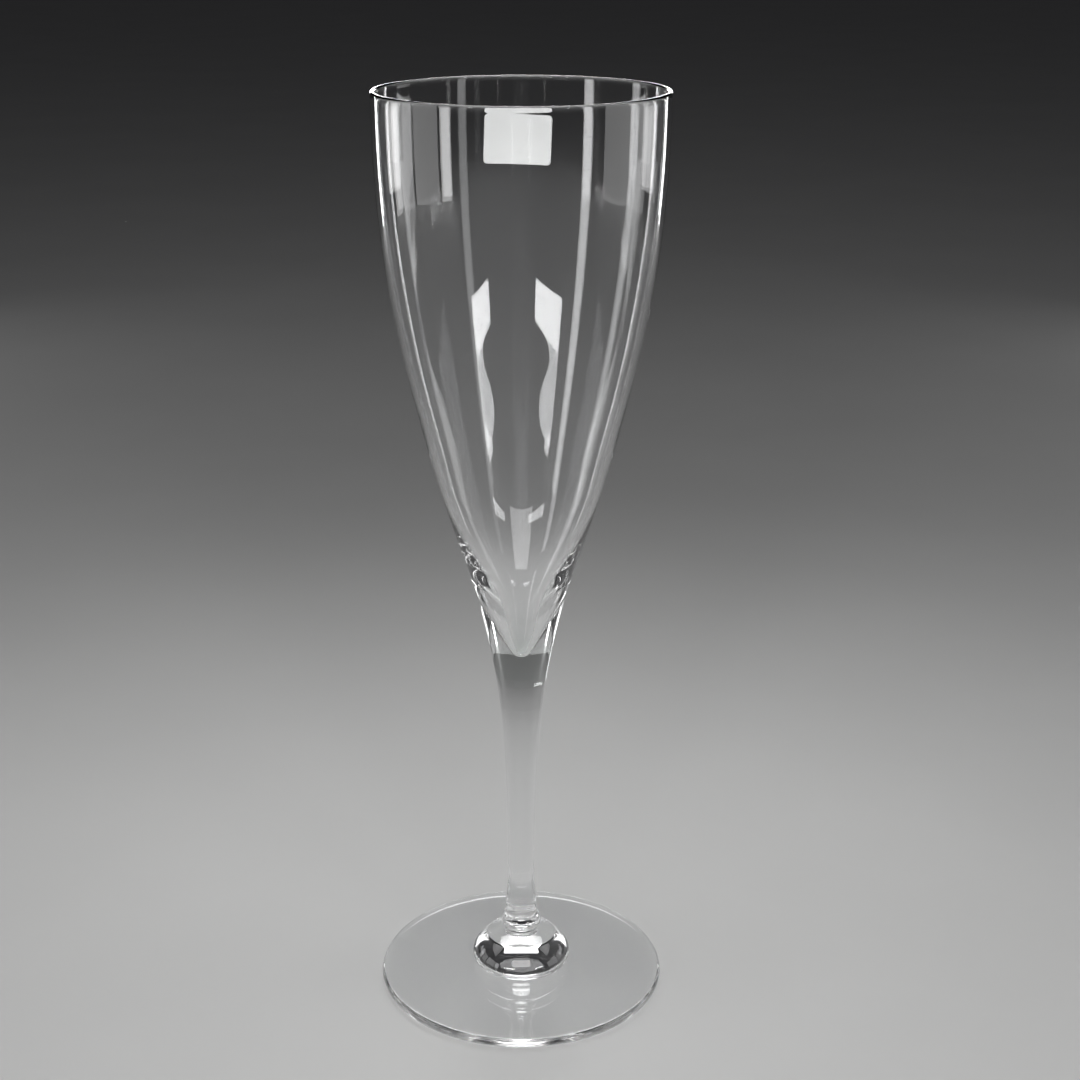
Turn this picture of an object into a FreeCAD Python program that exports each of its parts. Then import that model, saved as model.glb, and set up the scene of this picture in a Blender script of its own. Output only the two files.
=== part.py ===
import FreeCAD
import Part
import math
import os

# A champagne flute: six pieces stacked on one vertical axis.
# Millimetres, +Z up. The origin is on the floor, at the middle of the foot.
# Outlines are drawn as (radius, height) and turned about the axis.

# ---- foot ----
foot_radius = 37.8
foot_thickness = 3.1          # at the flat pad that the knop is fused to
foot_edge_thickness = 2.4     # the edge is a half round of this height
foot_mid_radius = 24.0
foot_mid_thickness = 2.62
foot_hollow_rise = 0.5        # how far the underside lifts off the floor at its centre
foot_hollow_half_share = 0.75 # share of that lift left half way out to the rest ring
rest_ring_width = 2.0         # flat ring that touches the floor

# ---- knop: a flat-topped button with a bulging side and a short neck ----
knop_height = 10.8
knop_base_radius = 11.2
knop_base_slope = 0.45        # height gained per radius where the side leaves the foot
knop_radius = 13.0
knop_belly_rise = 2.1         # height of the widest circle above the foot
knop_flank_radius = 12.05
knop_flank_rise = 5.3
knop_shoulder_radius = 9.1
knop_shoulder_rise = 8.5
knop_shoulder_slope = 0.95    # height gained per radius lost where the side reaches the shoulder
knop_shoulder_round = 0.45
knop_crown_rise = 0.4         # how much the top climbs from the shoulder to the neck
knop_neck_radius = 4.2
knop_neck_round = 0.4

# ---- collar: the small ring between the knop and the stem ----
collar_height = 4.9
collar_radius = 5.2
collar_ring_rise = 1.1
collar_flare_radius = 4.75
collar_flare_rise = 3.4

# ---- stem ----
stem_length = 67.2
stem_base_radius = 4.15
stem_ankle_radius = 3.74
stem_ankle_share = 0.09       # share of the stem's length
stem_waist_radius = 3.49
stem_waist_share = 0.235
stem_top_radius = 6.35
stem_waist_pull = 0.17        # how long the waist stays straight, as a share of the length above it
stem_top_pull = 0.29          # how long the top follows the bowl's slope, likewise

# ---- bowl ----
bowl_height = 149.0
rim_radius = 35.1
rim_wall = 1.05
solid_depth = 8.3             # glass between the stem joint and the tip of the hollow
tip_radius = 1.4
tip_slope = 0.42              # radius gained per height where the round tip ends
joint_slope = 0.165           # radius gained per height where the stem meets the bowl

# Shares of the bowl's height and of the rim's outside radius.
bowl_outside = (
    (0.148, 0.311),
    (0.295, 0.507),
    (0.497, 0.742),
    (0.664, 0.892),
    (0.832, 0.978),
)
# Shares of the hollow's depth and of the rim's inside radius.
bowl_inside = (
    (0.076, 0.148),
    (0.154, 0.303),
    (0.261, 0.488),
    (0.360, 0.610),
    (0.467, 0.727),
    (0.645, 0.884),
    (0.822, 0.976),
)

# ---- label: a blank sticker on the outside of the bowl ----
label_width = 17.4
label_height = 12.4
label_corner = 1.0
label_thickness = 0.12
label_below_rim = 15.8        # rim to the label's middle
label_offset = -0.9           # sideways, as stuck on by hand
label_turn = 2.0              # degrees

same_place = 1e-3             # an edge this near to a wanted place is the edge meant

# ---- where each piece starts ----
knop_start = foot_thickness
collar_start = knop_start + knop_height
stem_start = collar_start + collar_height
bowl_start = stem_start + stem_length
rim_height = bowl_start + bowl_height

full_turn = 360.0
axis_up = FreeCAD.Vector(0.0, 0.0, 1.0)
axis_foot = FreeCAD.Vector(0.0, 0.0, 0.0)
outward = FreeCAD.Vector(1.0, 0.0, 0.0)
away = FreeCAD.Vector(0.0, 1.0, 0.0)


def point(radius, height):
    return FreeCAD.Vector(radius, 0.0, height)


def line(start, end):
    return Part.LineSegment(start, end).toShape()


def arc(start, middle, end):
    return Part.Arc(start, middle, end).toShape()


def smooth(points, start_direction, end_direction):
    curve = Part.BSplineCurve()
    curve.interpolate(Points=points, InitialTangent=start_direction, FinalTangent=end_direction)
    return curve.toShape()


def bezier(poles):
    curve = Part.BezierCurve()
    curve.setPoles(poles)
    return curve.toShape()


def turned(edges):
    """The solid made by turning a closed outline about the vertical axis."""
    face = Part.Face(Part.Wire(edges))
    return face.revolve(axis_foot, axis_up, full_turn)


def rounded_at(solid, radius, height, size):
    """The same solid with its one sharp circle at (radius, height) rounded."""
    corners = []
    for edge in solid.Edges:
        box = edge.BoundBox
        level = abs(box.ZMin - height) < same_place and abs(box.ZMax - height) < same_place
        if level and abs(box.XMax - radius) < same_place:
            corners.append(edge)
    return solid.makeFillet(size, corners)


def foot():
    edge_round = foot_edge_thickness / 2.0
    flat_end = foot_radius - edge_round
    flat_start = flat_end - rest_ring_width
    hollow_middle = foot_hollow_rise * foot_hollow_half_share
    underside = arc(
        point(0.0, foot_hollow_rise),
        point(flat_start / 2.0, hollow_middle),
        point(flat_start, 0.0),
    )
    rest_ring = line(point(flat_start, 0.0), point(flat_end, 0.0))
    edge = arc(
        point(flat_end, 0.0),
        point(foot_radius, edge_round),
        point(flat_end, foot_edge_thickness),
    )
    top = arc(
        point(flat_end, foot_edge_thickness),
        point(foot_mid_radius, foot_mid_thickness),
        point(knop_base_radius, foot_thickness),
    )
    pad = line(point(knop_base_radius, foot_thickness), point(0.0, foot_thickness))
    centre = line(point(0.0, foot_thickness), point(0.0, foot_hollow_rise))
    return turned([underside, rest_ring, edge, top, pad, centre])


def knop():
    base = knop_start
    shoulder = base + knop_shoulder_rise
    crown = shoulder + knop_crown_rise
    bottom = line(point(0.0, base), point(knop_base_radius, base))
    side = smooth(
        [
            point(knop_base_radius, base),
            point(knop_radius, base + knop_belly_rise),
            point(knop_flank_radius, base + knop_flank_rise),
            point(knop_shoulder_radius, shoulder),
        ],
        point(1.0, knop_base_slope),
        point(-1.0, knop_shoulder_slope),
    )
    top = line(point(knop_shoulder_radius, shoulder), point(knop_neck_radius, crown))
    neck = line(point(knop_neck_radius, crown), point(knop_neck_radius, collar_start))
    lid = line(point(knop_neck_radius, collar_start), point(0.0, collar_start))
    centre = line(point(0.0, collar_start), point(0.0, base))
    body = turned([bottom, side, top, neck, lid, centre])
    body = rounded_at(body, knop_shoulder_radius, shoulder, knop_shoulder_round)
    neck_round = min(knop_neck_round, (collar_start - crown) / 2.0)
    return rounded_at(body, knop_neck_radius, crown, neck_round)


def collar():
    bottom = line(point(0.0, collar_start), point(knop_neck_radius, collar_start))
    side = smooth(
        [
            point(knop_neck_radius, collar_start),
            point(collar_radius, collar_start + collar_ring_rise),
            point(collar_flare_radius, collar_start + collar_flare_rise),
            point(stem_base_radius, stem_start),
        ],
        outward,
        axis_up,
    )
    lid = line(point(stem_base_radius, stem_start), point(0.0, stem_start))
    centre = line(point(0.0, stem_start), point(0.0, collar_start))
    return turned([bottom, side, lid, centre])


def stem():
    waist = stem_start + stem_waist_share * stem_length
    upper_length = bowl_start - waist
    waist_handle = stem_waist_pull * upper_length
    top_handle = stem_top_pull * upper_length
    bottom = line(point(0.0, stem_start), point(stem_base_radius, stem_start))
    ankle = smooth(
        [
            point(stem_base_radius, stem_start),
            point(stem_ankle_radius, stem_start + stem_ankle_share * stem_length),
            point(stem_waist_radius, waist),
        ],
        axis_up,
        axis_up,
    )
    shank = bezier(
        [
            point(stem_waist_radius, waist),
            point(stem_waist_radius, waist + waist_handle),
            point(stem_top_radius - joint_slope * top_handle, bowl_start - top_handle),
            point(stem_top_radius, bowl_start),
        ]
    )
    lid = line(point(stem_top_radius, bowl_start), point(0.0, bowl_start))
    centre = line(point(0.0, bowl_start), point(0.0, stem_start))
    return turned([bottom, ankle, shank, lid, centre])


def outside_points(extra):
    """Points up the bowl's outside, moved outwards by extra."""
    shoulder = rim_height - rim_wall / 2.0
    points = [point(stem_top_radius + extra, bowl_start)]
    for height_share, radius_share in bowl_outside:
        radius = rim_radius * radius_share + extra
        height = bowl_start + bowl_height * height_share
        points.append(point(radius, height))
    points.append(point(rim_radius + extra, shoulder))
    return points


def bowl_outside_edge(extra):
    return smooth(outside_points(extra), point(joint_slope, 1.0), axis_up)


def bowl():
    tip = bowl_start + solid_depth
    tip_angle = math.atan2(1.0, tip_slope)
    tip_end = point(tip_radius * math.sin(tip_angle), tip + tip_radius * (1.0 - math.cos(tip_angle)))
    half_angle = tip_angle / 2.0
    tip_middle = point(tip_radius * math.sin(half_angle), tip + tip_radius * (1.0 - math.cos(half_angle)))
    inside_radius = rim_radius - rim_wall
    shoulder = rim_height - rim_wall / 2.0
    inside_points = [tip_end]
    for depth_share, radius_share in bowl_inside:
        height = tip + (rim_height - tip) * depth_share
        inside_points.append(point(inside_radius * radius_share, height))
    inside_points.append(point(inside_radius, shoulder))

    joint = line(point(0.0, bowl_start), point(stem_top_radius, bowl_start))
    outside = bowl_outside_edge(0.0)
    rim = arc(
        point(rim_radius, shoulder),
        point(rim_radius - rim_wall / 2.0, rim_height),
        point(inside_radius, shoulder),
    )
    inside = smooth(inside_points, point(tip_slope, 1.0), axis_up)
    tip_round = arc(point(0.0, tip), tip_middle, tip_end)
    centre = line(point(0.0, tip), point(0.0, bowl_start))
    return turned([joint, outside, rim, inside, tip_round, centre])


def filled_outside(extra):
    """The bowl's outside as one full solid, grown outwards by extra."""
    points = outside_points(extra)
    low = points[0]
    high = points[-1]
    joint = line(point(0.0, low.z), low)
    lid = line(high, point(0.0, high.z))
    centre = line(point(0.0, high.z), point(0.0, low.z))
    return turned([joint, bowl_outside_edge(extra), lid, centre])


def label_stamp():
    """A block with the label's rounded outline, reaching out from the axis through the bowl's wall."""
    reach = 2.0 * rim_radius
    block = Part.makeBox(label_width, reach, label_height)
    block.translate(FreeCAD.Vector(-label_width / 2.0, 0.0, -label_height / 2.0))
    upright = []
    for edge in block.Edges:
        if edge.BoundBox.YLength > reach / 2.0:
            upright.append(edge)
    block = block.makeFillet(label_corner, upright)
    block.rotate(axis_foot, away, label_turn)
    block.translate(FreeCAD.Vector(label_offset, 0.0, rim_height - label_below_rim))
    return block


def label():
    grown = filled_outside(label_thickness)
    plain = filled_outside(0.0)
    return grown.common(label_stamp()).cut(plain).Solids[0]


os.makedirs("parts", exist_ok=True)
foot().exportStep("parts/foot.step")
knop().exportStep("parts/knop.step")
collar().exportStep("parts/collar.step")
stem().exportStep("parts/stem.step")
bowl().exportStep("parts/bowl.step")
label().exportStep("parts/label.step")
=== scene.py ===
# %% [markdown]
# # A champagne flute, piece by piece
#
# The flute is six pieces: a blown bowl with a solid base, a stem, a small collar, a flat-topped
# knop, a round foot and a blank paper label. The CAD model fixes every size and place. This script
# loads it as a frame, then gives each piece the smooth surface and the finish of the real one.
#
# Glass shows every flat facet, because it bends what is seen through it. So each glass piece is made
# again here as a fine, smoothly shaded surface turned about the glass's axis, and the CAD solid stays
# underneath for collision only.

# %% Load the frame
import math

import bpy
import numpy as np
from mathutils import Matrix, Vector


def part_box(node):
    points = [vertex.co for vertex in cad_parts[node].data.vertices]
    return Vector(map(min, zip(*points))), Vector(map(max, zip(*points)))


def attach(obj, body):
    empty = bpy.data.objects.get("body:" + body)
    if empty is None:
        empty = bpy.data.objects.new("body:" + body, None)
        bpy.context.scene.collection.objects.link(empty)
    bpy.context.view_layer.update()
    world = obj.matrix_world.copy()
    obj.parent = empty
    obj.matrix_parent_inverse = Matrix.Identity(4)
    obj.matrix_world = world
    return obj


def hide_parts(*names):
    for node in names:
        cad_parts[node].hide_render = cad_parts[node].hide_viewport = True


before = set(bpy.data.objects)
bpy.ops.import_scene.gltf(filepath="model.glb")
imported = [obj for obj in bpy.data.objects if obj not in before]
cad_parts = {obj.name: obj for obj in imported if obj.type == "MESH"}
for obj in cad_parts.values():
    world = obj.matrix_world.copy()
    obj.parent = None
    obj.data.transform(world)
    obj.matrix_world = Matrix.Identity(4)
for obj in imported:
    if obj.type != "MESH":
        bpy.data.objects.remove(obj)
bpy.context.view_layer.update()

MM = 0.001

# %% [markdown]
# ## Where the pieces meet
#
# The CAD boxes give the heights at which one gather of glass ends and the next one starts. Everything
# below is built from these, so a change in the CAD model moves the surfaces with it.

# %% Heights and radii read from the CAD pieces
boxes = {name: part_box(name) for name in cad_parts}


def outer_radius(name):
    """The radius that stays inside the CAD piece's box both ways."""
    low, high = boxes[name]
    return min(-low.x, -low.y, high.x, high.y)


foot_top = boxes["foot"][1].z
foot_radius = outer_radius("foot")
knop_top = boxes["knop"][1].z
knop_radius = outer_radius("knop")
collar_top = boxes["collar"][1].z
collar_radius = outer_radius("collar")
bowl_bottom = boxes["bowl"][0].z
rim_top = boxes["bowl"][1].z
rim_radius = outer_radius("bowl")
stem_length = bowl_bottom - collar_top
bowl_height = rim_top - bowl_bottom
print("stem", round(stem_length / MM, 1), "mm, bowl", round(bowl_height / MM, 1), "mm")

# %% [markdown]
# ## Smooth outlines
#
# A glassmaker's profile is one flowing line. A cubic spline through a few points gives that: between
# two points it is a cubic, and the slopes at the points are chosen so that the curvature never jumps.
# The first and last slopes are given, so that one piece runs on from the next without a kink.


# %% The outline tools
def smooth(points, start_direction, end_direction, count):
    """Points along the clamped cubic spline through the given (radius, height) points.

    The spline's parameter is the straight distance from point to point. The slopes at the inner points
    solve one set of linear equations: the second derivative is the same on both sides of each point.
    """
    p = np.array(points, float)
    step = np.linalg.norm(np.diff(p, axis=0), axis=1)
    chord = np.diff(p, axis=0) / step[:, None]
    size = len(p)
    left = np.zeros((size, size))
    right = np.zeros((size, 2))
    left[0, 0] = left[-1, -1] = 1.0
    right[0] = np.array(start_direction) / np.linalg.norm(start_direction)
    right[-1] = np.array(end_direction) / np.linalg.norm(end_direction)
    inner = np.arange(1, size - 1)
    left[inner, inner - 1] = step[1:]
    left[inner, inner] = 2.0 * (step[1:] + step[:-1])
    left[inner, inner + 1] = step[:-1]
    right[inner] = 3.0 * (step[1:, None] * chord[:-1] + step[:-1, None] * chord[1:])
    slope = np.linalg.solve(left, right)
    along = np.concatenate([[0.0], np.cumsum(step)])
    t = np.linspace(0.0, along[-1], count)
    k = np.clip(np.searchsorted(along, t, side="right") - 1, 0, size - 2)
    u = ((t - along[k]) / step[k])[:, None]
    h = step[k][:, None]
    return (
        (2 * u**3 - 3 * u**2 + 1) * p[k]
        + (u**3 - 2 * u**2 + u) * h * slope[k]
        + (3 * u**2 - 2 * u**3) * p[k + 1]
        + (u**3 - u**2) * h * slope[k + 1]
    )


def bezier(poles, count):
    """Points on the cubic curve drawn by four poles: the poles mixed in the shares of (1 - t + t) cubed."""
    a, b, c, d = np.array(poles, float)
    t = np.linspace(0.0, 1.0, count)[:, None]
    return (1 - t) ** 3 * a + 3 * (1 - t) ** 2 * t * b + 3 * (1 - t) * t**2 * c + t**3 * d


def arc(middle, radius, start, end, count):
    """Points on a circle round middle, from one angle to another in degrees, 0 pointing outwards."""
    angle = np.radians(np.linspace(start, end, count))
    return np.stack([middle[0] + radius * np.cos(angle), middle[1] + radius * np.sin(angle)], axis=1)


def line(start, end, count):
    """Evenly spaced points from start to end."""
    t = np.linspace(0.0, 1.0, count)[:, None]
    return (1 - t) * np.array(start, float) + t * np.array(end, float)


print("top of a unit arch:", bezier([(0, 0), (0, 1), (1, 1), (1, 0)], count=3)[1])


# %% [markdown]
# ## Turning an outline
#
# A round piece is a function of two parameters: how far along the outline, and how far round the axis.
# The point is (radius x cosine, radius x sine, height). The ends of the outline lie on the axis, where a
# whole ring shrinks to a single point, so the piece is a closed skin with no hole at its poles.
#
# The outline comes in runs, each with its own finish, and the edge between two runs is kept sharp so
# that the shading doesn't smear round the corner.

# %% The turned piece
AROUND = 224


def turned(name, runs, materials):
    """A closed mesh from a list of (points, finish number) runs that starts and ends on the axis.

    Vertex (i, j) is (r_i cos a_j, r_i sin a_j, z_i), with a_j going once round. The first and last
    points are single vertices on the axis, joined to the next ring by a fan of triangles.
    """
    points = np.concatenate([runs[0][0][:1]] + [run[1:] for run, _ in runs])
    finish = np.concatenate([np.full(len(run) - 1, number) for run, number in runs])
    corner_rows = np.cumsum([len(run) - 1 for run, _ in runs])[:-1]
    rows = len(points) - 2
    angle = np.arange(AROUND) * 2.0 * np.pi / AROUND
    radius, height = points[1:-1, 0], points[1:-1, 1]
    ring = np.stack(
        [
            np.outer(radius, np.cos(angle)),
            np.outer(radius, np.sin(angle)),
            np.outer(height, np.ones(AROUND)),
        ],
        axis=-1,
    ).reshape(-1, 3)
    poles = np.array([[0.0, 0.0, points[0, 1]], [0.0, 0.0, points[-1, 1]]])
    vertices = np.concatenate([ring, poles])
    column = np.arange(AROUND)
    following = (column + 1) % AROUND
    base = np.arange(rows - 1)[:, None] * AROUND
    quads = np.stack(
        [base + column, base + following, base + AROUND + following, base + AROUND + column], axis=-1
    ).reshape(-1, 4)
    first, last = rows * AROUND, rows * AROUND + 1
    top = (rows - 1) * AROUND
    low_fan = np.stack([np.full(AROUND, first), following, column], axis=-1)
    high_fan = np.stack([top + column, top + following, np.full(AROUND, last)], axis=-1)
    faces = low_fan.tolist() + quads.tolist() + high_fan.tolist()
    numbers = np.repeat(finish, AROUND)

    mesh = bpy.data.meshes.new(name)
    mesh.from_pydata(vertices.tolist(), [], faces)
    for material in materials:
        mesh.materials.append(material)
    mesh.polygons.foreach_set("material_index", numbers.astype(np.int32))
    mesh.polygons.foreach_set("use_smooth", np.ones(len(faces), bool))
    ends = np.empty(len(mesh.edges) * 2, np.int32)
    mesh.edges.foreach_get("vertices", ends)
    ends = ends.reshape(-1, 2)
    row_of = ends // AROUND
    level = (row_of[:, 0] == row_of[:, 1]) & (ends.max(axis=1) < first)
    sharp = level & np.isin(row_of[:, 0], corner_rows - 1)
    mesh.edges.foreach_set("use_edge_sharp", sharp)
    mesh.update()
    piece = bpy.data.objects.new(name, mesh)
    bpy.context.scene.collection.objects.link(piece)
    print(name, "-", len(vertices), "points,", len(faces), "faces")
    return piece


print("points round each turned piece:", AROUND)

# %% [markdown]
# ## Shader maths as plain expressions
#
# A material's pattern is arithmetic on numbers that vary over the surface. This small class wraps a
# node's output, so that `0.8 + 0.2 * smear` adds the two Math nodes by itself. Any other node comes
# from `Finish.node`, which sets the node's options first and then its inputs.


# %% The finish tools
class Value:
    """A number that varies over the surface; +, * and ** add Math nodes."""

    def __init__(self, finish, socket):
        self.finish = finish
        self.socket = socket

    def _math(self, operation, first, second):
        return self.finish.node("ShaderNodeMath", {"operation": operation}, {0: first, 1: second})

    def __add__(self, other):
        return self._math("ADD", self, other)

    def __radd__(self, other):
        return self._math("ADD", other, self)

    def __mul__(self, other):
        return self._math("MULTIPLY", self, other)

    def __rmul__(self, other):
        return self._math("MULTIPLY", other, self)

    def __pow__(self, other):
        return self._math("POWER", self, other)


class Finish:
    """A material that is being wired up."""

    # The Mix node's numbered sockets that belong to colours.
    SHARE, FIRST_COLOUR, SECOND_COLOUR, MIXED_COLOUR = 0, 6, 7, 2

    def __init__(self, name):
        self.material = bpy.data.materials.new(name)
        self.material.use_nodes = True
        self.tree = self.material.node_tree
        self.tree.nodes.clear()
        self.out = self.tree.nodes.new("ShaderNodeOutputMaterial")

    def node(self, kind, settings=None, inputs=None, output=0):
        """A node of that kind, with its settings made first, and then its inputs set or linked."""
        made = self.tree.nodes.new(kind)
        for key, value in (settings or {}).items():
            setattr(made, key, value)
        for key, value in (inputs or {}).items():
            if isinstance(value, Value):
                self.tree.links.new(value.socket, made.inputs[key])
            else:
                made.inputs[key].default_value = value
        return Value(self, made.outputs[output])

    def blend_colours(self, share, first, second):
        """The first colour where share is 0 and the second where it is 1."""
        colours = {self.SHARE: share, self.FIRST_COLOUR: first, self.SECOND_COLOUR: second}
        return self.node("ShaderNodeMix", {"data_type": "RGBA"}, colours, self.MIXED_COLOUR)

    def surface(self, shader):
        self.tree.links.new(shader.socket, self.out.inputs["Surface"])


print("finish tools:", Value.__name__, Finish.__name__)

# %% [markdown]
# ## The crystal
#
# Polished crystal is clear, smooth and very slightly uneven: hand-worked glass carries long soft
# ripples that make reflections swim, and handling leaves faint smears that only show where a light
# is mirrored. The ripples are a weak, wide noise fed to a Bump node, and the smears raise the
# roughness by a hair. Crystal is nearly colourless in a thin wall, and shows a faint grey-green cast
# where it is thick. Here that is the solid base of the bowl, so the skin is tinted between the stem's
# joint and a little above the tip of the hollow. Lamp light goes through crystal too, so towards the
# lamps the skin acts as a clear grey film, and the glass throws a faint shadow.

# %% The crystal
CRYSTAL_INDEX = 1.545
solid_depth = 8.3 * MM
TINT_EDGE = 0.1 * MM
THIN_COLOUR = (0.98, 0.982, 0.985, 1.0)
THICK_COLOUR = (0.90, 0.93, 0.918, 1.0)
LAMP_FILM = (0.57, 0.575, 0.575, 1.0)


def make_crystal():
    """Clear glass: faint ripples, a faint tint in the solid base, and a grey film towards lamps."""
    finish = Finish("crystal")
    place = finish.node("ShaderNodeTexCoord", output="Object")
    ripple = finish.node(
        "ShaderNodeTexNoise", {}, {"Vector": place, "Scale": 26.0, "Detail": 1.0, "Roughness": 0.4}
    )
    normal = finish.node(
        "ShaderNodeBump", {}, {"Height": ripple, "Strength": 0.04, "Distance": 0.0005}
    )
    smear = finish.node(
        "ShaderNodeTexNoise", {}, {"Vector": place, "Scale": 70.0, "Detail": 5.0, "Roughness": 0.62}
    )
    roughness = 0.001 + 0.010 * smear**3.0
    height = finish.node("ShaderNodeSeparateXYZ", {}, {"Vector": place}, output="Z")
    below_hollow = finish.node(
        "ShaderNodeMapRange",
        {"interpolation_type": "SMOOTHSTEP"},
        {
            "Value": height,
            "From Min": bowl_bottom + 2.0 * solid_depth,
            "From Max": bowl_bottom + solid_depth,
        },
    )
    above_joint = finish.node(
        "ShaderNodeMapRange",
        {"interpolation_type": "SMOOTHSTEP"},
        {"Value": height, "From Min": bowl_bottom - TINT_EDGE, "From Max": bowl_bottom + TINT_EDGE},
    )
    thick = below_hollow * above_joint * (0.8 + 0.2 * smear)
    tint = finish.blend_colours(thick, THIN_COLOUR, THICK_COLOUR)
    glass = finish.node(
        "ShaderNodeBsdfPrincipled",
        {},
        {
            "Base Color": tint,
            "Roughness": roughness,
            "Transmission Weight": 1.0,
            "IOR": CRYSTAL_INDEX,
            "Normal": normal,
        },
    )
    lamp_ray = finish.node("ShaderNodeLightPath", output="Is Shadow Ray")
    clear = finish.node("ShaderNodeBsdfTransparent", {}, {"Color": LAMP_FILM})
    finish.surface(finish.node("ShaderNodeMixShader", {}, {0: lamp_ray, 1: glass, 2: clear}))
    return finish.material


def make_fused_joint():
    """Where two hot gathers are pressed together the boundary vanishes, so nothing is drawn there."""
    finish = Finish("fused_joint")
    finish.surface(finish.node("ShaderNodeBsdfTransparent"))
    return finish.material


# Each piece starts this far above the one it is fused to, so that no two skins share a place.
SEAM = 0.01 * MM
crystal = make_crystal()
fused_joint = make_fused_joint()
GLASS = [crystal, fused_joint]
SKIN, JOINT = 0, 1
print("materials:", crystal.name, fused_joint.name)

# %% [markdown]
# ## The bowl
#
# The bowl is blown into a mould, so its outside is a clean flowing line and its hollow narrows to a
# small round tip inside a solid base. The rim is melted back in a flame until it is a half round.
# The outline runs from the joint with the stem, up the outside, over the rim, down the inside and
# round the tip to the axis.

# %% The bowl's outline
rim_wall = 1.05 * MM
tip_radius = 1.4 * MM
tip_slope = 0.42
joint_slope = 0.165
stem_top_radius = 6.35 * MM
bowl_outside = ((0.148, 0.311), (0.295, 0.507), (0.497, 0.742), (0.664, 0.892), (0.832, 0.978))
bowl_inside = (
    (0.076, 0.148),
    (0.154, 0.303),
    (0.261, 0.488),
    (0.360, 0.610),
    (0.467, 0.727),
    (0.645, 0.884),
    (0.822, 0.976),
)
UP, OUTWARD = (0.0, 1.0), (1.0, 0.0)


def bowl_skin(count):
    """The outside line, from the stem joint to the start of the rim's half round."""
    points = [(stem_top_radius, bowl_bottom + SEAM)]
    points += [(rim_radius * r, bowl_bottom + bowl_height * h) for h, r in bowl_outside]
    points += [(rim_radius, rim_top - rim_wall / 2)]
    return smooth(points, (joint_slope, 1.0), UP, count)


def bowl_hollow(count):
    """The inside line, from the round tip up to the rim."""
    tip = bowl_bottom + solid_depth
    depth = rim_top - tip
    inside = rim_radius - rim_wall
    leave = math.degrees(math.atan2(1.0, tip_slope)) - 90.0
    start = arc((0.0, tip + tip_radius), tip_radius, leave, leave, count=1)[0]
    points = [tuple(start)]
    points += [(inside * r, tip + depth * h) for h, r in bowl_inside]
    points += [(inside, rim_top - rim_wall / 2)]
    return smooth(points, (tip_slope, 1.0), UP, count), leave, tip


def make_bowl():
    """The line up the outside, over the rim, down the inside and round the tip, turned."""
    base = bowl_bottom + SEAM
    half_wall = rim_wall / 2
    joint = line((0.0, base), (stem_top_radius, base), count=6)
    outside = bowl_skin(count=150)
    rim = arc((rim_radius - half_wall, rim_top - half_wall), half_wall, 0.0, 180.0, count=15)
    hollow, leave, tip = bowl_hollow(count=150)
    tip_round = arc((0.0, tip + tip_radius), tip_radius, leave, -90.0, count=16)
    tip_round[-1, 0] = 0.0
    skin = np.concatenate([outside, rim[1:], hollow[::-1][1:], tip_round[1:]])
    return turned("bowl_glass", [(joint, JOINT), (skin, SKIN)], GLASS)


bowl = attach(make_bowl(), "root")
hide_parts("bowl")

# %% [markdown]
# ## The stem
#
# The stem is drawn out while it is soft, so it is thinnest a quarter of the way up and swells towards
# both ends. Its upper line leaves at the slope of the bowl's base, which hides the joint.

# %% The stem
stem_base_radius = 4.15 * MM
stem_ankle_radius = 3.74 * MM
stem_ankle_share = 0.09
stem_waist_radius = 3.49 * MM
stem_waist_share = 0.235
stem_waist_pull = 0.17
stem_top_pull = 0.29


def make_stem():
    """A spline for the ankle with a cubic curve above it for the shank, turned round the axis."""
    base = collar_top + SEAM
    waist = collar_top + stem_waist_share * stem_length
    upper = bowl_bottom - waist
    bottom = line((0.0, base), (stem_base_radius, base), count=5)
    ankle = smooth(
        [
            (stem_base_radius, base),
            (stem_ankle_radius, collar_top + stem_ankle_share * stem_length),
            (stem_waist_radius, waist),
        ],
        UP,
        UP,
        count=36,
    )
    shank = bezier(
        [
            (stem_waist_radius, waist),
            (stem_waist_radius, waist + stem_waist_pull * upper),
            (stem_top_radius - joint_slope * stem_top_pull * upper, bowl_bottom - stem_top_pull * upper),
            (stem_top_radius, bowl_bottom),
        ],
        count=70,
    )
    lid = line((stem_top_radius, bowl_bottom), (0.0, bowl_bottom), count=6)
    skin = np.concatenate([ankle, shank[1:]])
    return turned("stem_glass", [(bottom, JOINT), (skin, SKIN), (lid, JOINT)], GLASS)


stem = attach(make_stem(), "root")
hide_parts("stem")

# %% [markdown]
# ## The collar
#
# A small wafer of glass joins the stem to the knop. Its lower edge is a round ring, and above that it
# flows up into the stem.

# %% The collar
knop_neck_radius = 4.2 * MM
collar_ring_rise = 1.1 * MM
collar_flare_radius = 4.75 * MM
collar_flare_rise = 3.4 * MM


def make_collar():
    """A spline that bulges into a ring and flares up into the stem, turned round the axis."""
    base = knop_top + SEAM
    bottom = line((0.0, base), (knop_neck_radius, base), count=5)
    side = smooth(
        [
            (knop_neck_radius, base),
            (collar_radius, knop_top + collar_ring_rise),
            (collar_flare_radius, knop_top + collar_flare_rise),
            (stem_base_radius, collar_top),
        ],
        OUTWARD,
        UP,
        count=60,
    )
    lid = line((stem_base_radius, collar_top), (0.0, collar_top), count=5)
    return turned("collar_glass", [(bottom, JOINT), (side, SKIN), (lid, JOINT)], GLASS)


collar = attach(make_collar(), "root")
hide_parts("collar")

# %% [markdown]
# ## The knop
#
# The knop is a button of glass with a nearly flat top, a soft shoulder and a bulging side that tucks
# in again where it meets the foot. Most of the sparkle low on the flute comes from its side, which
# acts as a ring-shaped lens.

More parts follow.
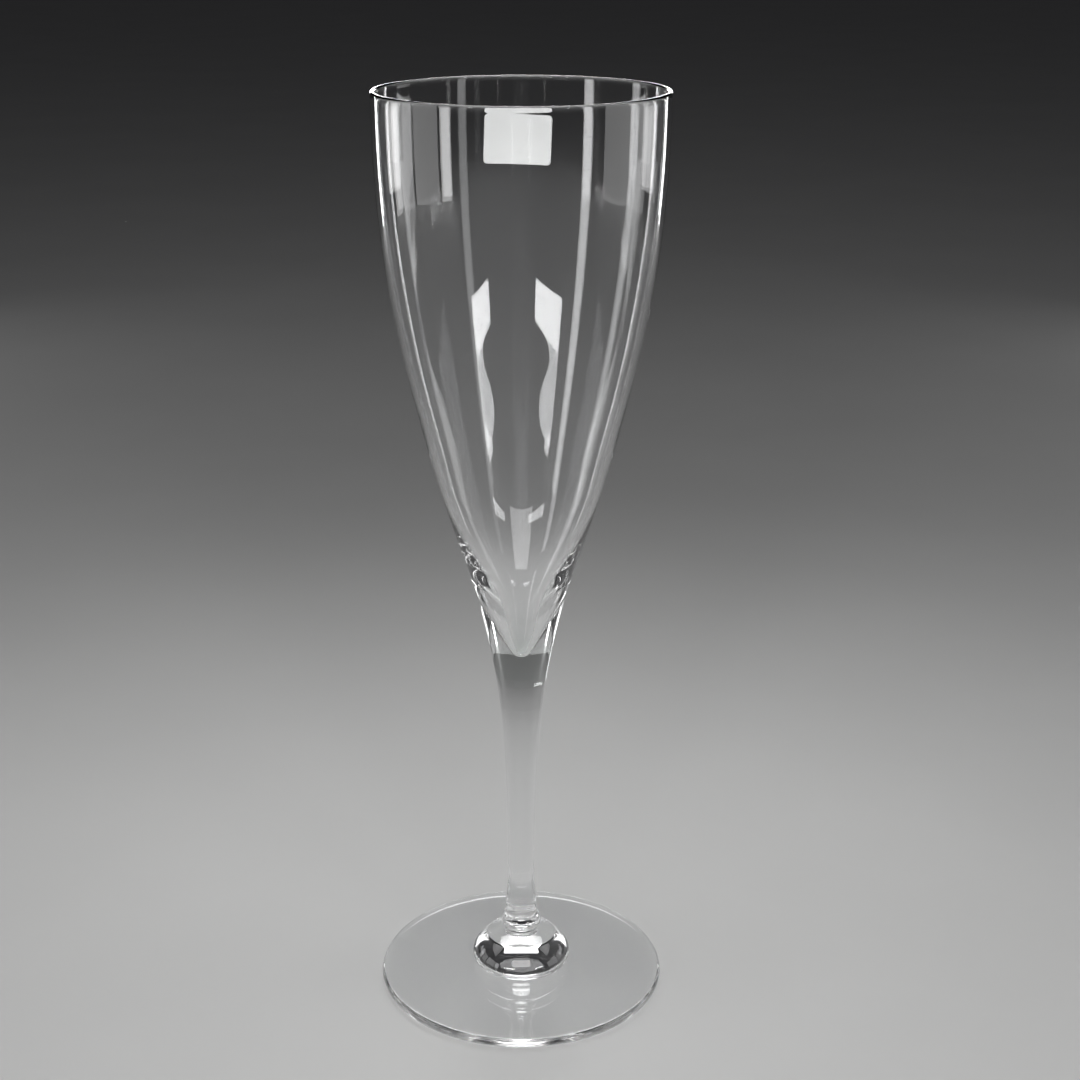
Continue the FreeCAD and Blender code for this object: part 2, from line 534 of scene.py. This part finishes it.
# %% The knop
knop_base_radius = 11.2 * MM
knop_base_slope = 0.45
knop_belly_rise = 2.1 * MM
knop_flank_radius = 12.05 * MM
knop_flank_rise = 5.3 * MM
knop_shoulder_radius = 9.1 * MM
knop_shoulder_rise = 8.5 * MM
knop_shoulder_slope = 0.95
knop_crown_rise = 0.4 * MM
knop_round = 0.45 * MM


def rounded(first, second, size, count):
    """Two runs joined by a soft corner: each is cut back by size, and a curved blend bridges the cut."""
    from_end = np.linalg.norm(first - first[-1], axis=1)
    from_start = np.linalg.norm(second - second[0], axis=1)
    before, after = first[from_end > size], second[from_start > size]
    a, corner, b = before[-1], first[-1], after[0]
    t = np.linspace(0.0, 1.0, count)[1:-1, None]
    blend = (1 - t) ** 2 * a + 2 * (1 - t) * t * corner + t**2 * b
    return np.concatenate([before, blend, after])


def make_knop():
    """A bulging side, a sloping top and a short neck with soft corners between, turned."""
    shoulder = foot_top + knop_shoulder_rise
    crown = shoulder + knop_crown_rise
    base = foot_top + SEAM
    bottom = line((0.0, base), (knop_base_radius, base), count=6)
    side = smooth(
        [
            (knop_base_radius, base),
            (knop_radius, foot_top + knop_belly_rise),
            (knop_flank_radius, foot_top + knop_flank_rise),
            (knop_shoulder_radius, shoulder),
        ],
        (1.0, knop_base_slope),
        (-1.0, knop_shoulder_slope),
        count=90,
    )
    top = line((knop_shoulder_radius, shoulder), (knop_neck_radius, crown), count=40)
    neck = line((knop_neck_radius, crown), (knop_neck_radius, knop_top), count=24)
    shouldered = rounded(side, top, knop_round, count=8)
    skin = rounded(shouldered, neck, knop_round, count=8)
    lid = line((knop_neck_radius, knop_top), (0.0, knop_top), count=5)
    return turned("knop_glass", [(bottom, JOINT), (skin, SKIN), (lid, JOINT)], GLASS)


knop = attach(make_knop(), "root")
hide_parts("knop")

# %% [markdown]
# ## The foot
#
# The foot is a flattened disc with a melted round edge. Its top rises very slightly to the knop, and
# its underside is a shallow hollow, so only a narrow ring near the edge stands on the table.

# %% The foot
foot_edge = 2.4 * MM
foot_middle = (24.0 * MM, 2.62 * MM)
foot_hollow_rise = 0.5 * MM
foot_hollow_half_share = 0.75
rest_ring_width = 2.0 * MM


def through(start, middle, end, count):
    """Points on the gentle curve that passes through three points, as a parabola in the radius."""
    (r0, z0), (r1, z1), (r2, z2) = start, middle, end
    r = np.linspace(r0, r2, count)
    z = (
        z0 * (r - r1) * (r - r2) / ((r0 - r1) * (r0 - r2))
        + z1 * (r - r0) * (r - r2) / ((r1 - r0) * (r1 - r2))
        + z2 * (r - r0) * (r - r1) / ((r2 - r0) * (r2 - r1))
    )
    return np.stack([r, z], axis=1)


def make_foot():
    """The hollow underside, the rest ring, the half-round edge and the rising top, turned."""
    flat_end = foot_radius - foot_edge / 2
    flat_start = flat_end - rest_ring_width
    half_way = (flat_start / 2, foot_hollow_half_share * foot_hollow_rise)
    underside = through((0.0, foot_hollow_rise), half_way, (flat_start, 0.0), count=50)
    ring = line((flat_start, 0.0), (flat_end, 0.0), count=5)
    edge = arc((flat_end, foot_edge / 2), foot_edge / 2, -90.0, 90.0, count=21)
    top = through((flat_end, foot_edge), foot_middle, (knop_base_radius, foot_top), count=60)
    skin = np.concatenate([underside, ring[1:], edge[1:], top[1:]])
    pad = line((knop_base_radius, foot_top), (0.0, foot_top), count=6)
    return turned("foot_glass", [(skin, SKIN), (pad, JOINT)], GLASS)


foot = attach(make_foot(), "root")
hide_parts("foot")

# %% [markdown]
# ## The label
#
# The label is a small blank sticker on the far side of the bowl. A flat rounded rectangle is worked out
# first, as rows whose ends follow the rounded corners. Then it is turned a little, as stuck on by
# hand, and wrapped: each point keeps its sideways place and height, and its depth comes from the
# bowl's radius at that height.

# %% The label
label_width = 17.4 * MM
label_height = 12.4 * MM
label_corner = 1.0 * MM
label_thickness = 0.12 * MM
label_glue = 0.015 * MM
label_below_rim = 15.8 * MM
label_offset = -0.9 * MM
label_turn = math.radians(2.0)


def label_sheet(extra, rows=37, columns=41):
    """A grid over the rounded rectangle, wrapped round the bowl at a distance of extra from the glass."""
    v = np.sin(np.linspace(-np.pi / 2, np.pi / 2, rows)) * label_height / 2
    into_corner = np.clip(np.abs(v) - (label_height / 2 - label_corner), 0.0, label_corner)
    half = label_width / 2 - label_corner + np.sqrt(label_corner**2 - into_corner**2)
    x = np.linspace(-1.0, 1.0, columns)[None, :] * half[:, None]
    z = np.repeat(v[:, None], columns, axis=1)
    turned_x = x * math.cos(label_turn) + z * math.sin(label_turn) + label_offset
    turned_z = z * math.cos(label_turn) - x * math.sin(label_turn) + rim_top - label_below_rim
    skin = bowl_skin(count=400)
    radius = np.interp(turned_z, skin[:, 1], skin[:, 0]) + extra
    return np.stack([turned_x, np.sqrt(radius**2 - turned_x**2), turned_z], axis=-1)


def make_label(paper):
    """Two sheets, one on the glass and one a paper's thickness out, joined round the edge."""
    inner, outer = label_sheet(label_glue), label_sheet(label_thickness)
    rows, columns = inner.shape[:2]
    count = rows * columns
    vertices = np.concatenate([inner.reshape(-1, 3), outer.reshape(-1, 3)])
    number = np.arange(count).reshape(rows, columns)
    corners = [number[:-1, :-1], number[:-1, 1:], number[1:, 1:], number[1:, :-1]]
    inside = np.stack(corners, axis=-1).reshape(-1, 4)
    outside = inside[:, ::-1] + count
    border = np.concatenate(
        [number[0, :-1], number[:-1, -1], number[-1, :0:-1], number[:0:-1, 0]]
    )
    following = np.roll(border, -1)
    edge = np.stack([following, border, border + count, following + count], axis=-1)
    faces = np.concatenate([inside, outside, edge])
    mesh = bpy.data.meshes.new("label_paper")
    mesh.from_pydata(vertices.tolist(), [], faces.tolist())
    mesh.materials.append(paper)
    mesh.polygons.foreach_set("use_smooth", np.arange(len(faces)) < 2 * len(inside))
    mesh.update()
    piece = bpy.data.objects.new("label_paper", mesh)
    bpy.context.scene.collection.objects.link(piece)
    print("label -", len(vertices), "points,", len(faces), "faces")
    return piece


# %% [markdown]
# ## The label's paper
#
# Coated label paper is bright white with a faint warm mottle and a fine tooth of fibres. Two noises
# make it: a broad one that shades the white, and a fine stretched one for the fibres, which also
# drives a light bump.


# %% The label's paper
def make_paper():
    """White paper: a mottle shades it, and fibres roughen it and raise it a little."""
    finish = Finish("label_paper")
    place = finish.node("ShaderNodeTexCoord", output="Object")
    stretched = finish.node("ShaderNodeMapping", {}, {"Vector": place, "Scale": (900.0, 900.0, 3600.0)})
    fibres = finish.node(
        "ShaderNodeTexNoise", {}, {"Vector": stretched, "Scale": 1.0, "Detail": 4.0, "Roughness": 0.6}
    )
    mottle = finish.node(
        "ShaderNodeTexNoise", {}, {"Vector": place, "Scale": 420.0, "Detail": 3.0, "Roughness": 0.55}
    )
    share = 0.55 * mottle + 0.45 * fibres
    colour = finish.blend_colours(share, (0.86, 0.86, 0.85, 1.0), (0.95, 0.945, 0.93, 1.0))
    normal = finish.node("ShaderNodeBump", {}, {"Height": fibres, "Strength": 0.35, "Distance": 0.00004})
    paper = finish.node(
        "ShaderNodeBsdfPrincipled",
        {},
        {"Base Color": colour, "Roughness": 0.5 + 0.2 * fibres, "IOR": 1.45, "Normal": normal},
    )
    finish.surface(paper)
    return finish.material


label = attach(make_label(make_paper()), "root")
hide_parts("label")

# %% [markdown]
# ## The studio floor
#
# The flute stands on a wide pale floor. It could be a single colour, but a soft mottle in two near
# greys looks more like a real table. It lies a hair below the foot, so that the two never share a place.


# %% The floor
FLOOR_HALF = 6.0
FLOOR_LEVEL = -0.2 * MM
FLOOR_DARK = (0.49, 0.49, 0.487, 1.0)
FLOOR_LIGHT = (0.55, 0.55, 0.546, 1.0)


def make_floor():
    """A flat square with a faint mottle of two near greys."""
    finish = Finish("pale_floor")
    place = finish.node("ShaderNodeTexCoord", output="Object")
    grain = finish.node(
        "ShaderNodeTexNoise", {}, {"Vector": place, "Scale": 9.0, "Detail": 4.0, "Roughness": 0.5}
    )
    colour = finish.blend_colours(grain, FLOOR_DARK, FLOOR_LIGHT)
    finish.surface(
        finish.node(
            "ShaderNodeBsdfPrincipled", {}, {"Base Color": colour, "Roughness": 0.62, "IOR": 1.35}
        )
    )
    half = FLOOR_HALF
    level = FLOOR_LEVEL
    mesh = bpy.data.meshes.new("floor")
    corners = [(-half, -half, level), (half, -half, level), (half, half, level), (-half, half, level)]
    mesh.from_pydata(corners, [], [(0, 1, 2, 3)])
    mesh.materials.append(finish.material)
    floor = bpy.data.objects.new("floor", mesh)
    bpy.context.scene.collection.objects.link(floor)
    return floor


make_floor()
print("floor:", 2 * FLOOR_HALF, "m across")

# %% [markdown]
# ## The lights
#
# Clear glass is seen by what it mirrors and bends, so the lights are soft panels stood in a ring round
# the flute. Tall ones at the sides draw long pale strips down the bowl, and two small windows in front
# draw the short bright streaks in its back wall. A turn round the flute and a brightness are easier to
# think in than a place and a power, so `standing_panel` works those out: the watts are pi times the
# panel's area times its brightness.
#
# The rim mirrors what stands level with it, so a low panel behind the flute is there for the rim alone.
# Panels overhead light the label and the floor. Three of them spread their light narrowly, so it falls
# near the foot and the floor fades into the dark behind. No panel is seen by the camera. The four widest
# side panels are hidden from sight through glass too, because otherwise the bowl turns plain white when
# it is looked at from the side.


# %% The tools for lights
def panel(name, place, aim, width, height, watts, spread=180.0):
    """A soft rectangular light at place that faces the point aim and spreads over an angle in degrees."""
    light = bpy.data.lights.new(name, "AREA")
    light.shape = "RECTANGLE"
    light.size, light.size_y = width, height
    light.energy = watts
    light.spread = math.radians(spread)
    lamp = bpy.data.objects.new(name, light)
    way = np.array(aim, float) - np.array(place, float)
    way /= np.linalg.norm(way)
    lamp.location = place
    lamp.rotation_euler = (math.acos(-way[2]), 0.0, math.atan2(-way[0], way[1]))
    lamp.visible_camera = False
    bpy.context.scene.collection.objects.link(lamp)
    return lamp


def standing_panel(name, start, end, low, high, distance, brightness, through_glass=True):
    """A panel standing round the flute, from one turn to another, low and high edge in metres.

    Turns are in degrees, 0 in front and + to the right. The panel faces the flute's axis.
    """
    turn = math.radians((start + end) / 2.0)
    width = 2.0 * distance * math.tan(math.radians(abs(end - start)) / 2.0)
    middle = (low + high) / 2.0
    place = (distance * math.sin(turn), -distance * math.cos(turn), middle)
    watts = math.pi * width * (high - low) * brightness
    lamp = panel(name, place, (0.0, 0.0, middle), width, high - low, watts)
    lamp.visible_transmission = through_glass
    return lamp


print("a panel of 1 m2 at brightness 1 takes", round(math.pi, 2), "W")

# %% The lights at the sides, behind and in front
# Name, first turn, last turn, low edge, high edge, distance, brightness, and whether glass shows it.
standing_panel("right_front_strip", 47.0, 54.0, 0.0, 0.36, 0.85, 1.8)
standing_panel("right_window", 64.0, 92.0, 0.0, 0.36, 0.85, 2.1, False)
standing_panel("right_back_strip", 94.0, 109.0, 0.0, 0.30, 0.85, 1.3, False)
standing_panel("left_front_strip", -62.0, -54.0, 0.0, 0.36, 0.85, 5.0)
standing_panel("left_window", -87.0, -64.0, 0.0, 0.36, 0.85, 2.3, False)
standing_panel("left_back_strip", -102.0, -89.0, 0.0, 0.30, 0.85, 1.6, False)
standing_panel("left_far_strip", -113.0, -104.0, 0.0, 0.30, 0.85, 2.6)
standing_panel("right_card", 104.0, 122.0, 0.09, 0.17, 0.60, 2.0)
standing_panel("left_card", -122.0, -104.0, 0.09, 0.17, 0.60, 2.0)
standing_panel("back_right_panel", 141.0, 144.0, 0.0, 0.20, 0.93, 6.0)
standing_panel("back_left_panel", -144.0, -141.0, 0.0, 0.20, 0.93, 6.0)
standing_panel("front_right_window", 32.0, 50.0, 0.338, 0.390, 1.19, 28.0)
standing_panel("front_left_window", -41.0, -14.0, 0.354, 0.406, 1.19, 28.0)
print("standing panels:", len(bpy.data.lights))

# %% The lights behind the rim and overhead
# Name, place, the point it faces, width, height, watts, and the angle it spreads over.
panel("rim_panel", (0.0, 0.93, 0.29), (0.0, 0.0, 0.26), 0.60, 0.14, 0.25, 40.0)
panel("key_panel", (0.0, -1.0, 0.80), (0.0, 0.0, 0.20), 0.9, 0.45, 6.5)
panel("top_panel", (0.0, -0.05, 0.50), (0.0, 0.0, 0.0), 0.28, 0.28, 0.25)
panel("high_back_panel", (0.0, 0.45, 0.60), (0.0, 0.0, 0.02), 0.35, 0.25, 0.17, 55.0)
panel("high_left_panel", (-0.50, 0.0, 0.50), (0.0, 0.0, 0.02), 0.30, 0.25, 0.06, 55.0)
panel("high_right_panel", (0.50, 0.0, 0.50), (0.0, 0.0, 0.02), 0.30, 0.25, 0.06, 55.0)
print("all panels:", len(bpy.data.lights))

# %% [markdown]
# ## The surroundings and the light's way through glass
#
# A dim even glow all round fills in what no panel reaches. The Standard view keeps a bright highlight
# white, where the default view would turn it grey. Light inside thick glass is thrown back and forth
# many times before it finds a way out. With too few bounces the solid base of the bowl shows black
# patches, so a light path may have many.

# %% The surroundings and the light's way
LIGHT_BOUNCES = 28
world = bpy.data.worlds.new("studio")
world.use_nodes = True
world.node_tree.nodes["Background"].inputs["Color"].default_value = (0.05, 0.05, 0.053, 1.0)
world.node_tree.nodes["Background"].inputs["Strength"].default_value = 0.5
bpy.context.scene.world = world
bpy.context.scene.view_settings.view_transform = "Standard"
light_paths = bpy.context.scene.cycles
light_paths.max_bounces = LIGHT_BOUNCES
light_paths.transmission_bounces = LIGHT_BOUNCES
light_paths.glossy_bounces = LIGHT_BOUNCES
light_paths.transparent_max_bounces = LIGHT_BOUNCES
print("bounces:", LIGHT_BOUNCES)

# %% [markdown]
# ## The camera
#
# The camera stands a little above the rim and looks down at the flute, near enough for the round
# foot to look wide open.

# %% The camera
LOOK_DOWN = 19.53
camera_data = bpy.data.cameras.new("camera")
camera_data.sensor_width = 36.0
camera_data.lens = 61.77
camera_data.shift_x = 0.0174
camera_data.clip_start = 0.01
camera = bpy.data.objects.new("camera", camera_data)
camera.location = (0.0, -0.4394, 0.2801)
camera.rotation_euler = (math.radians(90.0 - LOOK_DOWN), 0.0, 0.0)
bpy.context.scene.collection.objects.link(camera)
bpy.context.scene.camera = camera
print("camera looks down by", LOOK_DOWN, "degrees")
